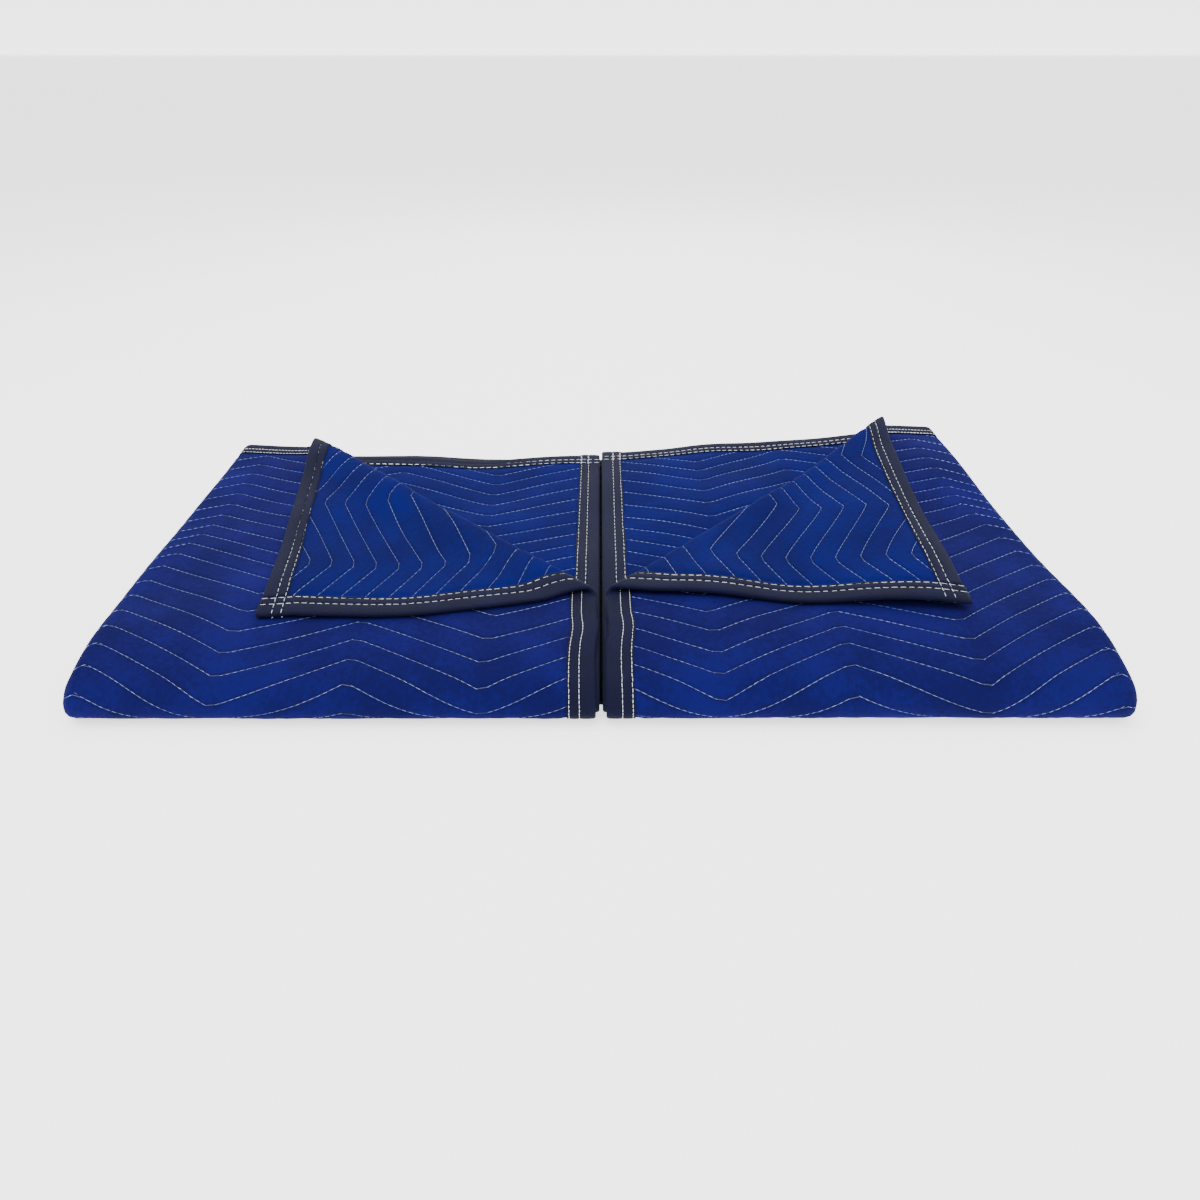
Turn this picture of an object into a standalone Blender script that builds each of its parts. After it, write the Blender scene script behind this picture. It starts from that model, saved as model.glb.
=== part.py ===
"""Quilted moving blanket, folded into a flat pack of eight layers.

The blanket is one quilted panel with four webbing bindings. Each piece is made flat, in the cloth's own
coordinates, and then folded by the same chain of folds, as hands would fold it:

    1. fold_in_half   the length is doubled, inner faces together
    2. fold_sides     both sides come over to the middle
    3. close_gap      the edges of the inner side flaps meet
    4. turn_corner    the two corners of the outer flaps at the middle of the back are turned outwards
    5. puff_flaps     the right flaps stand a little off the layers below
    6. fold_again     the pack is folded in half, the side flaps outside, with the bend at the front
    7. settle         the pack lies unevenly, its underside flat on the ground

Cloth coordinates are u across the width (0 at the middle), v along the length (0 at one end) and n through
the thickness (0 in the middle of the cloth, the outer face at -n). World coordinates are X to the right,
Y to the back and Z up, with the origin at the middle of the underside.
"""

import math

import bmesh
import bpy
import numpy as np

# Driving dimensions, in metres.
CLOTH_WIDTH = 1.850
CLOTH_LENGTH = 1.980
CLOTH_THICKNESS = 0.0049
LAYER_PITCH = 0.0061
CENTRE_GAP = 0.0085

# Webbing binding, folded over every edge.
BINDING_WIDTH = 0.0254
WEBBING_THICKNESS = 0.0009
PIECE_GAP = 0.0003
EDGE_ROUND = (CLOTH_THICKNESS - WEBBING_THICKNESS) / 2.0
EDGE_SETBACK = CLOTH_THICKNESS / 2.0 + PIECE_GAP
PINCH_START = BINDING_WIDTH + 0.0006
PINCH_END = PINCH_START + 0.002
PINCHED_THICKNESS = CLOTH_THICKNESS - 2.0 * (WEBBING_THICKNESS + PIECE_GAP)

# Radii of the folds, measured to the layer that keeps its length.
HALF_FOLD_RADIUS = 0.5 * LAYER_PITCH
SIDE_FOLD_RADIUS = 1.5 * LAYER_PITCH
PACK_FOLD_RADIUS = 3.5 * LAYER_PITCH

# Flat sides of each fold.
HALF_WIDTH = CLOTH_WIDTH / 2.0
SIDE_FOLD_START = (HALF_WIDTH + CENTRE_GAP / 2.0 - math.pi * SIDE_FOLD_RADIUS) / 2.0
HALF_FOLD_START = (CLOTH_LENGTH - math.pi * HALF_FOLD_RADIUS) / 2.0
PACK_FOLD_START = 0.4545
FLAP_START = SIDE_FOLD_START + math.pi * SIDE_FOLD_RADIUS
PACK_FOLD_END = PACK_FOLD_START + math.pi * PACK_FOLD_RADIUS

# Flat facets that stand for each round.
HALF_FOLD_STEPS = 4
SIDE_FOLD_STEPS = 6
PACK_FOLD_STEPS = 6
CORNER_STEPS = 5
EDGE_STEPS = 3
PLAIN_STEPS = 6

# Turned corners. A row is side (-1 left, +1 right), distance of the crease's outer end from the middle line,
# distance of its inner end from the back, radius of the round at the inner end and at the outer end, how far
# the corner has slid along the crease, and how far its free edge bows to the front.
CORNERS = (
    (-1.0, 0.383, 0.3496, 0.0040, 0.0090, -0.0425, 0.021),
    (1.0, 0.403, 0.350, 0.0042, 0.0055, 0.001, 0.008),
)
CORNER_FALL = 7.0
CORNER_FALL_STEPS = 3
CORNER_HEIGHT = 0.25
BOW_LENGTH = 0.31

# Unevenness of the pack. Each amount is reached at the top of the pack, and comes in over the stretches
# below it, from the first place to the second: X_ is across the pack and Y_ is from front to back.
PACK_HEIGHT = 7.0 * LAYER_PITCH + CLOTH_THICKNESS

# The right half stands higher, most of all at the back.
RIGHT_RISE = 0.006
RIGHT_RISE_X = (0.0, 0.16)
BACK_RISE = 0.010
BACK_RISE_X = (0.0, 0.42)
BACK_RISE_Y = (-0.10, 0.24)
CORNER_RISE = 0.010
CORNER_RISE_X = (0.20, 0.44)
CORNER_RISE_Y = (-0.06, 0.24)

# The left half stands a little higher at the back, and its flap sags towards the middle.
LEFT_RISE = 0.005
LEFT_RISE_X = (-0.08, -0.24)
LEFT_SAG = 0.004
LEFT_SAG_X = (-0.32, -0.04)
LEFT_SAG_END_X = (0.08, 0.0)
LEFT_SAG_Y = (-0.15, 0.20)

# The right end spreads at the front and is narrower at the back, the left corner of the front is drawn in,
# and the middle lies to the right.
SPREAD_X = (0.0, 0.45)
SPREAD_Y = (0.25, -0.25)
FRONT_SPREAD = 0.006
BACK_NARROWING = 0.024
FRONT_DRAW = 0.012
FRONT_DRAW_X = (0.10, -0.10)
FRONT_DRAW_Y = (-0.08, -0.25)
MIDDLE_SHIFT = 0.007
MIDDLE_X = (0.44, 0.0)

# The front is pressed to a low round nose: from this y forward, heights are scaled down by up to NOSE_DROP.
NOSE_Y = -0.140
NOSE_LENGTH = 0.1064
NOSE_DROP = 0.47
NOSE_POWER = 2.3

# The right flaps are puffed up behind this run, and the inner flaps' edges are this far apart.
RIGHT_PUFF = 0.005
PUFF_RUN = (PACK_FOLD_START, 0.10)
INNER_GAP = 0.002
LAYER_BLEND = 0.2

# The left inner flap has slid forward, between these places, so that the layer below shows behind it.
FLAP_SLIDE = 0.018
FLAP_SLIDE_X = (-0.03, -0.17)
FLAP_SLIDE_END_X = (-0.44, -0.34)
FLAP_SLIDE_RUN = (0.30, 0.10)

# Where the pack stands: its depth from the front of the bend to the half fold at the back, and its middle.
FRONT_REACH = PACK_FOLD_START + PACK_FOLD_RADIUS + CLOTH_THICKNESS / 2.0
BACK_REACH = PACK_FOLD_START + PACK_FOLD_END - HALF_FOLD_START - HALF_FOLD_RADIUS - CLOTH_THICKNESS / 2.0
MIDDLE_RUN = (FRONT_REACH + BACK_REACH) / 2.0
GROUND_HEIGHT = 4.0 * LAYER_PITCH + CLOTH_THICKNESS / 2.0

PANEL_COLOUR = (0.016, 0.045, 0.19, 1.0)
BINDING_COLOUR = (0.014, 0.018, 0.055, 1.0)


def smooth_step(low, high, value):
    """Rise smoothly from 0 at low to 1 at high."""
    share = np.clip((value - low) / (high - low), 0.0, 1.0)
    return share * share * (3.0 - 2.0 * share)


def facet_angle(turn, steps):
    """Sine and cosine along a half turn made of flat steps; turn runs from 0 to 1."""
    place = np.clip(turn, 0.0, 1.0) * steps
    whole = np.minimum(np.floor(place), steps - 1)
    part = place - whole
    low = whole * math.pi / steps
    high = (whole + 1.0) * math.pi / steps
    sine = (1.0 - part) * np.sin(low) + part * np.sin(high)
    cosine = (1.0 - part) * np.cos(low) + part * np.cos(high)
    return sine, cosine


def bend_over(along, across, start, centre, radius, steps):
    """Fold a strip back over itself round an axis at height centre.

    What lies before start stays. The next half turn's length at the given radius goes round the axis, and
    the rest comes back on the other side.
    """
    arc = math.pi * radius
    sine, cosine = facet_angle((along - start) / arc, steps)
    before = np.minimum(along - start, 0.0)
    past = np.maximum(along - start - arc, 0.0)
    reach = centre - across
    return start + before + np.abs(reach) * sine - past, centre - reach * cosine


def fold_in_half(v, n):
    """Double the length; the second half lies one pitch above the first."""
    return bend_over(v, n, HALF_FOLD_START, HALF_FOLD_RADIUS, HALF_FOLD_RADIUS, HALF_FOLD_STEPS)


def fold_sides(u, height):
    """Bring both sides over the top to the middle."""
    across, height = bend_over(np.abs(u), height, SIDE_FOLD_START, SIDE_FOLD_RADIUS, SIDE_FOLD_RADIUS,
                               SIDE_FOLD_STEPS)
    return np.sign(u) * across, height


def above_layer(height, layer):
    """0 on the given layer and below it, 1 on the next one; it changes between them."""
    return np.clip((height / LAYER_PITCH - layer - 0.5 + LAYER_BLEND / 2.0) / LAYER_BLEND, 0.0, 1.0)


def close_gap(x, height):
    """Let the edges of the inner side flaps meet; they lie under the gap between the outer ones."""
    inner = above_layer(height, 1) * (1.0 - above_layer(height, 2))
    reach = np.clip(1.0 - np.abs(x) / SIDE_FOLD_START, 0.0, 1.0)
    return x - np.sign(x) * (CENTRE_GAP - INNER_GAP) / 2.0 * inner * reach


def slide_inner(x, run, height):
    """Let the left inner flap lie further forward than the layer below it."""
    inner = above_layer(height, 1) * (1.0 - above_layer(height, 2))
    slid = smooth_step(*FLAP_SLIDE_X, x) * smooth_step(*FLAP_SLIDE_END_X, x)
    return run + FLAP_SLIDE * inner * slid * smooth_step(*FLAP_SLIDE_RUN, run)


def fold_again(run, height):
    """Fold the pack in half, bend at the front, the flaps outside."""
    return bend_over(run, height, PACK_FOLD_START, -0.5 * LAYER_PITCH, PACK_FOLD_RADIUS, PACK_FOLD_STEPS)


def corner_cone(corner):
    """The round of a turned corner is a slim cone: its apex, axes and radius for each metre from the apex.

    The first axis runs along the crease, from its inner end to its outer one, and the second to the corner.
    """
    side, outer, inner, inner_radius, outer_radius = corner[:5]
    start = np.array((side * CENTRE_GAP / 2.0, inner))
    span = np.array((side * outer, 0.0)) - start
    length = float(np.linalg.norm(span))
    direction = span / length
    towards = np.array((direction[1], -direction[0])) * side
    slope = (outer_radius - inner_radius) / length
    apex = start - direction * inner_radius / slope
    return apex, direction, towards, slope


def corner_settling(fan):
    """Share of its way down that turned cloth has gone; fan is the angle past the crease over the slope."""
    steps = (fan - math.pi) / CORNER_FALL * CORNER_FALL_STEPS
    whole = np.clip(np.floor(steps), 0.0, CORNER_FALL_STEPS - 1.0)
    low = smooth_step(0.0, CORNER_FALL_STEPS, whole)
    high = smooth_step(0.0, CORNER_FALL_STEPS, whole + 1.0)
    return low + (high - low) * np.clip(steps - whole, 0.0, 1.0)


def turn_corner(x, run, height, corner):
    """Turn one corner of the top layer over its crease, on to the top of the pack.

    After half a turn round the cone the cloth goes on flat, and comes down to one pitch above the layer.
    """
    side = corner[0]
    slide, bow = corner[5:]
    apex, direction, towards, slope = corner_cone(corner)
    layer = 3.0 * LAYER_PITCH
    along = (x - apex[0]) * direction[0] + (run - apex[1]) * direction[1]
    beyond = (x - apex[0]) * towards[0] + (run - apex[1]) * towards[1]
    turned = (beyond > 0.0) & (height > 2.5 * LAYER_PITCH) & (x * side > 0.0)
    distance = np.hypot(along, beyond)
    fan = np.arctan2(beyond, along) / slope
    sine, cosine = facet_angle(fan / math.pi, CORNER_STEPS)
    past = np.maximum(fan - math.pi, 0.0) * slope
    radius = distance * slope
    offset = height - layer
    ahead = distance * np.cos(past)
    aside = (radius - offset) * sine - distance * np.sin(past)
    settled = corner_settling(fan)
    drop = settled * (2.0 * radius - LAYER_PITCH)
    rise = radius - (radius - offset) * cosine - drop
    new_x = apex[0] + ahead * direction[0] + aside * towards[0]
    new_run = apex[1] + ahead * direction[1] + aside * towards[1]
    slid = slide * smooth_step(0.0, CORNER_HEIGHT, distance * np.sin(past))
    bowed = bow * settled * np.sin(math.pi * np.clip(np.abs(new_x) / BOW_LENGTH, 0.0, 1.0))
    new_x += slid * direction[0]
    new_run += slid * direction[1] + bowed
    return (np.where(turned, new_x, x), np.where(turned, new_run, run),
            np.where(turned, layer + rise, height))


def puff_flaps(x, run, height):
    """Lift the side flaps a little off the layers below; they lie close again round the front."""
    right = np.where(x > 0.0, RIGHT_PUFF, 0.0)
    return height + above_layer(height, 1) * right * smooth_step(*PUFF_RUN, run)


def settle(x, y, z):
    """Let the folded pack lie unevenly, with its underside still flat."""
    front = smooth_step(*SPREAD_Y, y)
    rise = RIGHT_RISE * smooth_step(*RIGHT_RISE_X, x)
    rise += BACK_RISE * smooth_step(*BACK_RISE_X, x) * smooth_step(*BACK_RISE_Y, y)
    rise += CORNER_RISE * smooth_step(*CORNER_RISE_X, x) * smooth_step(*CORNER_RISE_Y, y)
    rise += LEFT_RISE * smooth_step(*LEFT_RISE_X, x) * smooth_step(*BACK_RISE_Y, y)
    sagging = smooth_step(*LEFT_SAG_X, x) * smooth_step(*LEFT_SAG_END_X, x)
    rise -= LEFT_SAG * sagging * smooth_step(*LEFT_SAG_Y, y)
    spread = smooth_step(*SPREAD_X, x) * (FRONT_SPREAD * front - BACK_NARROWING * (1.0 - front))
    drawn = 1.0 - FRONT_DRAW * smooth_step(*FRONT_DRAW_Y, y) * smooth_step(*FRONT_DRAW_X, x)
    middle = MIDDLE_SHIFT * smooth_step(*MIDDLE_X, np.abs(x))
    kept = 1.0 - NOSE_DROP * (np.maximum(NOSE_Y - y, 0.0) / NOSE_LENGTH) ** NOSE_POWER
    return x * drawn + spread + middle, y, (z + rise * z / PACK_HEIGHT) * kept


def fold_cloth(u, v, n):
    """Take points of the flat cloth to their places in the folded pack."""
    run, height = fold_in_half(v, n)
    x, height = fold_sides(u, height)
    x = close_gap(x, height)
    run = slide_inner(x, run, height)
    for corner in CORNERS:
        x, run, height = turn_corner(x, run, height, corner)
    height = puff_flaps(x, run, height)
    run, height = fold_again(run, height)
    return settle(x, MIDDLE_RUN - run, height + GROUND_HEIGHT)


def spaced(start, end, steps):
    """Evenly spaced stations from start to end, both included."""
    return [start + (end - start) * step / steps for step in range(steps + 1)]


def width_stations():
    """Stations across the width, the same for every piece, from the middle to the right edge."""
    flat = spaced(0.0, SIDE_FOLD_START, PLAIN_STEPS)
    bend = spaced(SIDE_FOLD_START, FLAP_START, SIDE_FOLD_STEPS)
    flap = spaced(FLAP_START, HALF_WIDTH - PINCH_END, PLAIN_STEPS)
    return flat + bend[1:] + flap[1:] + [HALF_WIDTH - PINCH_START]


def length_stations():
    """Stations along the length, the same for every piece, between the pinched ends."""
    top = spaced(PINCH_END, PACK_FOLD_START, PLAIN_STEPS)
    bend = spaced(PACK_FOLD_START, PACK_FOLD_END, PACK_FOLD_STEPS)
    under = spaced(PACK_FOLD_END, HALF_FOLD_START, PLAIN_STEPS)
    first = [PINCH_START] + top + bend[1:] + under[1:]
    last = [CLOTH_LENGTH - station for station in reversed(first)]
    half_bend = spaced(HALF_FOLD_START, CLOTH_LENGTH - HALF_FOLD_START, HALF_FOLD_STEPS)
    return first + half_bend[1:-1] + last


def mirrored(stations):
    """The same stations to the left of the middle and to the right, with the middle itself once."""
    return [-station for station in reversed(stations[1:])] + stations


def flat_slab(first, second, thickness):
    """A flat slab on a grid of stations, closed, with its middle at height 0."""
    slab = bmesh.new()
    bmesh.ops.create_grid(slab, x_segments=len(first) - 1, y_segments=len(second) - 1, size=1.0)
    first_grid = np.linspace(-1.0, 1.0, len(first))
    second_grid = np.linspace(-1.0, 1.0, len(second))
    for vertex in slab.verts:
        vertex.co.x = np.interp(vertex.co.x, first_grid, first)
        vertex.co.y = np.interp(vertex.co.y, second_grid, second)
    bmesh.ops.triangulate(slab, faces=slab.faces[:])
    lower = bmesh.ops.duplicate(slab, geom=slab.faces[:])
    for item in lower["geom"]:
        if isinstance(item, bmesh.types.BMVert):
            item.co.z -= thickness / 2.0
    raised = [vertex for vertex in slab.verts if vertex.co.z > -thickness / 4.0]
    for vertex in raised:
        vertex.co.z += thickness / 2.0
    rims = [edge for edge in slab.edges if edge.is_boundary]
    bmesh.ops.bridge_loops(slab, edges=rims)
    bmesh.ops.recalc_face_normals(slab, faces=slab.faces[:])
    return slab


def score_creases(slab):
    """Cut the flat cloth's faces along the ruled lines of both turned corners, so that it bends there."""
    round_fans = spaced(0.0, math.pi, CORNER_STEPS)
    fall_fans = spaced(math.pi, math.pi + CORNER_FALL, CORNER_FALL_STEPS)
    for corner in CORNERS:
        side = corner[0]
        apex, direction, towards, slope = corner_cone(corner)
        apex_u = side * (FLAP_START + SIDE_FOLD_START) - apex[0]
        for fan in round_fans + fall_fans[1:]:
            ruling = direction * math.cos(fan * slope) + towards * math.sin(fan * slope)
            normal = (ruling[1], ruling[0], 0.0)
            faces = [face for face in slab.faces
                     if all(vertex.co.x * side > FLAP_START - 0.001 for vertex in face.verts)
                     and all(vertex.co.y < PACK_FOLD_START + 0.001 for vertex in face.verts)]
            edges = list({edge for face in faces for edge in face.edges})
            verts = list({vertex for face in faces for vertex in face.verts})
            bmesh.ops.bisect_plane(slab, geom=verts + edges + faces, dist=1.0e-6,
                                   plane_co=(apex_u, apex[1], 0.0), plane_no=normal)


def points_of(slab):
    """The slab's vertex places as three numpy rows."""
    return np.array([vertex.co for vertex in slab.verts]).T


def place_points(slab, x, y, z):
    """Move the slab's vertices."""
    for vertex, place in zip(slab.verts, np.stack((x, y, z), axis=1)):
        vertex.co = place


def make_material(name, colour, roughness):
    """A plain cloth finish."""
    material = bpy.data.materials.new(name)
    material.use_nodes = True
    surface = material.node_tree.nodes["Principled BSDF"]
    surface.inputs["Base Color"].default_value = colour
    surface.inputs["Roughness"].default_value = roughness
    surface.inputs["Metallic"].default_value = 0.0
    material.diffuse_color = colour
    return material


def fold_piece(name, slab, material, collection):
    """Score and fold a flat piece, and make it an object."""
    score_creases(slab)
    u, v, n = points_of(slab)
    place_points(slab, *fold_cloth(u, v, n))
    if slab.calc_volume(signed=True) < 0.0:
        bmesh.ops.reverse_faces(slab, faces=slab.faces[:])
    mesh = bpy.data.meshes.new(name)
    slab.to_mesh(mesh)
    slab.free()
    mesh.materials.append(material)
    piece = bpy.data.objects.new(name, mesh)
    collection.objects.link(piece)
    return piece


def make_panel(material, collection):
    """The quilted panel, pinched thinner where the binding grips it."""
    across = mirrored(width_stations() + [HALF_WIDTH - EDGE_SETBACK])
    along = [EDGE_SETBACK] + length_stations() + [CLOTH_LENGTH - EDGE_SETBACK]
    slab = flat_slab(across, along, CLOTH_THICKNESS)
    u, v, n = points_of(slab)
    edge = np.minimum(HALF_WIDTH - np.abs(u), np.minimum(v, CLOTH_LENGTH - v))
    pinched = edge < (PINCH_START + PINCH_END) / 2.0
    n = np.where(pinched, n * PINCHED_THICKNESS / CLOTH_THICKNESS, n)
    place_points(slab, u, v, n)
    return fold_piece("quilted_panel", slab, material, collection)


def binding_slab(stations):
    """A webbing strip folded over an edge: distance from the edge, run along it, and height."""
    leg = BINDING_WIDTH - EDGE_SETBACK
    wrap = math.pi * EDGE_ROUND
    girth = [0.0] + spaced(leg, leg + wrap, EDGE_STEPS) + [2.0 * leg + wrap]
    slab = flat_slab(girth, stations, WEBBING_THICKNESS)
    along, run, offset = points_of(slab)
    reach, height = bend_over(along, offset - EDGE_ROUND, leg, 0.0, EDGE_ROUND, EDGE_STEPS)
    place_points(slab, BINDING_WIDTH - reach, run, height)
    return slab


def make_side_binding(name, side, material, collection):
    """Binding over a long side, from one end of the blanket to the other."""
    slab = binding_slab([0.0] + length_stations() + [CLOTH_LENGTH])
    edge, run, height = points_of(slab)
    place_points(slab, side * (HALF_WIDTH - edge), run, height)
    return fold_piece(name, slab, material, collection)


def make_end_binding(name, far_end, material, collection):
    """Binding over a short end, between the side bindings."""
    inner_end = HALF_WIDTH - BINDING_WIDTH - PIECE_GAP
    slab = binding_slab(mirrored(width_stations()[:-2] + [inner_end]))
    edge, run, height = points_of(slab)
    place = CLOTH_LENGTH - edge if far_end else edge
    place_points(slab, run, place, height)
    return fold_piece(name, slab, material, collection)


def main():
    """Build the folded blanket."""
    for old in list(bpy.data.objects):
        bpy.data.objects.remove(old, do_unlink=True)
    blanket = bpy.data.collections.new("moving_blanket")
    bpy.context.scene.collection.children.link(blanket)
    panel = make_material("quilted_cloth", PANEL_COLOUR, 0.9)
    webbing = make_material("binding_webbing", BINDING_COLOUR, 0.8)
    make_panel(panel, blanket)
    make_end_binding("end_binding_a", False, webbing, blanket)
    make_end_binding("end_binding_b", True, webbing, blanket)
    make_side_binding("side_binding_left", -1.0, webbing, blanket)
    make_side_binding("side_binding_right", 1.0, webbing, blanket)


main()
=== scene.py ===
"""Looks of a quilted moving blanket, folded into a flat pack of eight layers.

The cloth is worked out flat, as u across the width, v along the length and n through the thickness (the
outer face at -n), and then taken through the folds: in half along its length, both sides to the middle, in
half again with the bend at the front, and the two top corners at the middle of the back turned outwards.
Quilting, bindings and every stitch are made in the flat cloth and folded with it.
"""

import logging
import math
from collections.abc import Callable, Sequence
from dataclasses import dataclass, field
from enum import Enum
from typing import Any

import bmesh
import bpy
import numpy as np
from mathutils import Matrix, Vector

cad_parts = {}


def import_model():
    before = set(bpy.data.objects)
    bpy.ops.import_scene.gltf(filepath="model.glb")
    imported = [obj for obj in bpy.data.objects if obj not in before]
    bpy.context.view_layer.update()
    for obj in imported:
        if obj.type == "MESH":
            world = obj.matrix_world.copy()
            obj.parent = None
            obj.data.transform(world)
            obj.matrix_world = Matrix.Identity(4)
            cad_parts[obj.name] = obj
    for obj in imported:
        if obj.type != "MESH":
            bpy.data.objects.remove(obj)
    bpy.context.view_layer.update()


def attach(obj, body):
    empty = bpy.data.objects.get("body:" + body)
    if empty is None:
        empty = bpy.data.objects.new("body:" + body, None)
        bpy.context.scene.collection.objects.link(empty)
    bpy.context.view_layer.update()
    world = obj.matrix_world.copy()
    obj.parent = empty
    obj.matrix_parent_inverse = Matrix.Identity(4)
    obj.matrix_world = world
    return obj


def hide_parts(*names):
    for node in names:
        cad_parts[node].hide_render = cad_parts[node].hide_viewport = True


Array = np.ndarray
Triple = tuple[Array, Array, Array]
Span = tuple[float, float]
Colour = tuple[float, float, float, float]

LOG = logging.getLogger("blanket")


def smooth_step(low: float, high: float, value: Array) -> Array:
    """Rise from 0 at low to 1 at high along 3s^2 - 2s^3; high may be the smaller one."""
    share = np.clip((value - low) / (high - low), 0.0, 1.0)
    return share * share * (3.0 - 2.0 * share)


def bump_at(centre: float, width: float, value: Array) -> Array:
    """A round bump exp(-d^2), d the distance from the centre in widths."""
    return np.exp(-((value - centre) / width) ** 2)


def bend_over(along: Array, across: Array, start: float, centre: float,
              radius: float) -> tuple[Array, Array]:
    """Fold a strip back over itself round an axis at height centre, from the run start on.

    The angle is the run past start over the radius, at which the run keeps its length, up to half a
    turn. The rest runs straight back. Takes and returns the run along and the height across.
    """
    angle = np.clip((along - start) / radius, 0.0, math.pi)
    before = np.minimum(along - start, 0.0)
    past = np.maximum(along - start - math.pi * radius, 0.0)
    reach = centre - across
    return start + before + np.abs(reach) * np.sin(angle) - past, centre - reach * np.cos(angle)


@dataclass(frozen=True)
class Swell:
    """An amount that comes in over smooth steps.

    Attributes:
        amount: The amount where every step is done.
        across: Where each step across begins and ends.
        along: Where each step along begins and ends.
    """

    amount: float
    across: tuple[Span, ...] = ()
    along: tuple[Span, ...] = ()

    def at(self, across: Array, along: Array) -> Array:
        """The amount at each place."""
        amount = np.full(np.shape(across), self.amount)
        for spans, value in ((self.across, across), (self.along, along)):
            for low, high in spans:
                amount = amount * smooth_step(low, high, value)
        return amount


SwellPair = tuple[tuple[Swell, ...], tuple[Swell, ...]]


def swollen(swells: Sequence[Swell], across: Array, along: Array) -> Array:
    """Sum of several swells at each place."""
    return sum((swell.at(across, along) for swell in swells), np.zeros(np.shape(across)))


class Side(Enum):
    """Left or right half of the pack, by the sign of X."""

    LEFT = -1.0
    RIGHT = 1.0


class Face(Enum):
    """A face of the cloth, by the sign of n."""

    OUTER = -1.0
    INNER = 1.0


@dataclass(frozen=True)
class Cloth:
    """Sizes of the flat blanket and of its layers in the pack, in metres."""

    width: float = 1.850
    length: float = 1.980
    thickness: float = 0.0049
    pitch: float = 0.0061
    centre_gap: float = 0.0085
    inner_gap: float = 0.002
    binding_width: float = 0.0254

    @property
    def half_width(self) -> float:
        """Distance from the middle to a side edge."""
        return self.width / 2.0

    @property
    def half(self) -> float:
        """Half the thickness of the pressed cloth."""
        return self.thickness / 2.0

    @property
    def stack(self) -> float:
        """Height of the eight layers."""
        return 7.0 * self.pitch + self.thickness

    @property
    def top(self) -> float:
        """Height of the middle of the top layer, before its corners are turned."""
        return 3.0 * self.pitch


@dataclass(frozen=True)
class TurnedCorner:
    """A corner of the top layer turned over a round crease, which is a slim cone.

    Attributes:
        outer: Distance of the crease's outer end from the middle line.
        inner: Distance of the crease's inner end from the back.
        inner_radius: Radius of the round at the inner end.
        outer_radius: Radius of the round at the outer end.
        slide: How far the corner has slid along the crease.
        bow: How far its free edge bows to the front.
        wave: Height of the waves, which have a crest at wave_at from the middle line.
        fall: Angle past half a turn over which the cloth comes down.
        slide_reach: Distance from the crease at which the slide is full.
        bow_length: Distance from the middle line over which the edge bows.
        wave_length: Distance from one wave crest to the next.
        wave_reach: Distance from the crease at which the waves are full.
        wave_share: Share of the waves' height that is there at the crease.
    """

    side: Side
    outer: float
    inner: float
    inner_radius: float
    outer_radius: float
    slide: float
    bow: float
    wave_at: float
    wave: float
    fall: float = 7.0
    slide_reach: float = 0.25
    bow_length: float = 0.31
    wave_length: float = 0.245
    wave_reach: float = 0.22
    wave_share: float = 0.35

    def cone(self, gap: float) -> tuple[Array, Array, Array, float]:
        """Apex of the cone, its direction, the way to the corner, and its radius over its length."""
        sign = self.side.value
        start = np.array((sign * gap / 2.0, self.inner))
        span = np.array((sign * self.outer, 0.0)) - start
        length = float(np.linalg.norm(span))
        direction = span / length
        towards = np.array((direction[1], -direction[0])) * sign
        slope = (self.outer_radius - self.inner_radius) / length
        return start - direction * self.inner_radius / slope, direction, towards, slope

    def turn(self, x: Array, run: Array, height: Array, cloth: Cloth) -> Triple:
        """Turn the corner over, given distances from the middle line and the back, and heights.

        In polar form round the apex, the angle past the crease over the slope is the angle turned. After
        half a turn the cloth goes on flat and comes down smoothly to one pitch above the layer below.
        """
        sign = self.side.value
        apex, direction, towards, slope = self.cone(cloth.centre_gap)
        along = (x - apex[0]) * direction[0] + (run - apex[1]) * direction[1]
        beyond = (x - apex[0]) * towards[0] + (run - apex[1]) * towards[1]
        turned = (beyond > 0.0) & (height > cloth.top - 0.5 * cloth.pitch) & (x * sign > 0.0)
        distance = np.hypot(along, beyond)
        fan = np.arctan2(beyond, along) / slope
        angle = np.clip(fan, 0.0, math.pi)
        past = np.maximum(fan - math.pi, 0.0) * slope
        radius = distance * slope
        offset = height - cloth.top
        ahead = distance * np.cos(past)
        reach = distance * np.sin(past)
        aside = (radius - offset) * np.sin(angle) - reach
        settled = smooth_step(math.pi, math.pi + self.fall, fan)
        rise = radius - (radius - offset) * np.cos(angle) - settled * (2.0 * radius - cloth.pitch)
        new_x = apex[0] + ahead * direction[0] + aside * towards[0]
        new_run = apex[1] + ahead * direction[1] + aside * towards[1]
        bowed = self.bow * settled * np.sin(math.pi * np.clip(np.abs(new_x) / self.bow_length, 0.0, 1.0))
        wave = 0.5 + 0.5 * np.cos(2.0 * math.pi * (np.abs(new_x) - self.wave_at) / self.wave_length)
        free = self.wave_share + (1.0 - self.wave_share) * smooth_step(0.0, self.wave_reach, reach)
        rise += self.wave * wave * settled * free
        slid = self.slide * smooth_step(0.0, self.slide_reach, reach)
        new_x += slid * direction[0]
        new_run += slid * direction[1] + bowed
        return (np.where(turned, new_x, x), np.where(turned, new_run, run),
                np.where(turned, cloth.top + rise, height))


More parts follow.
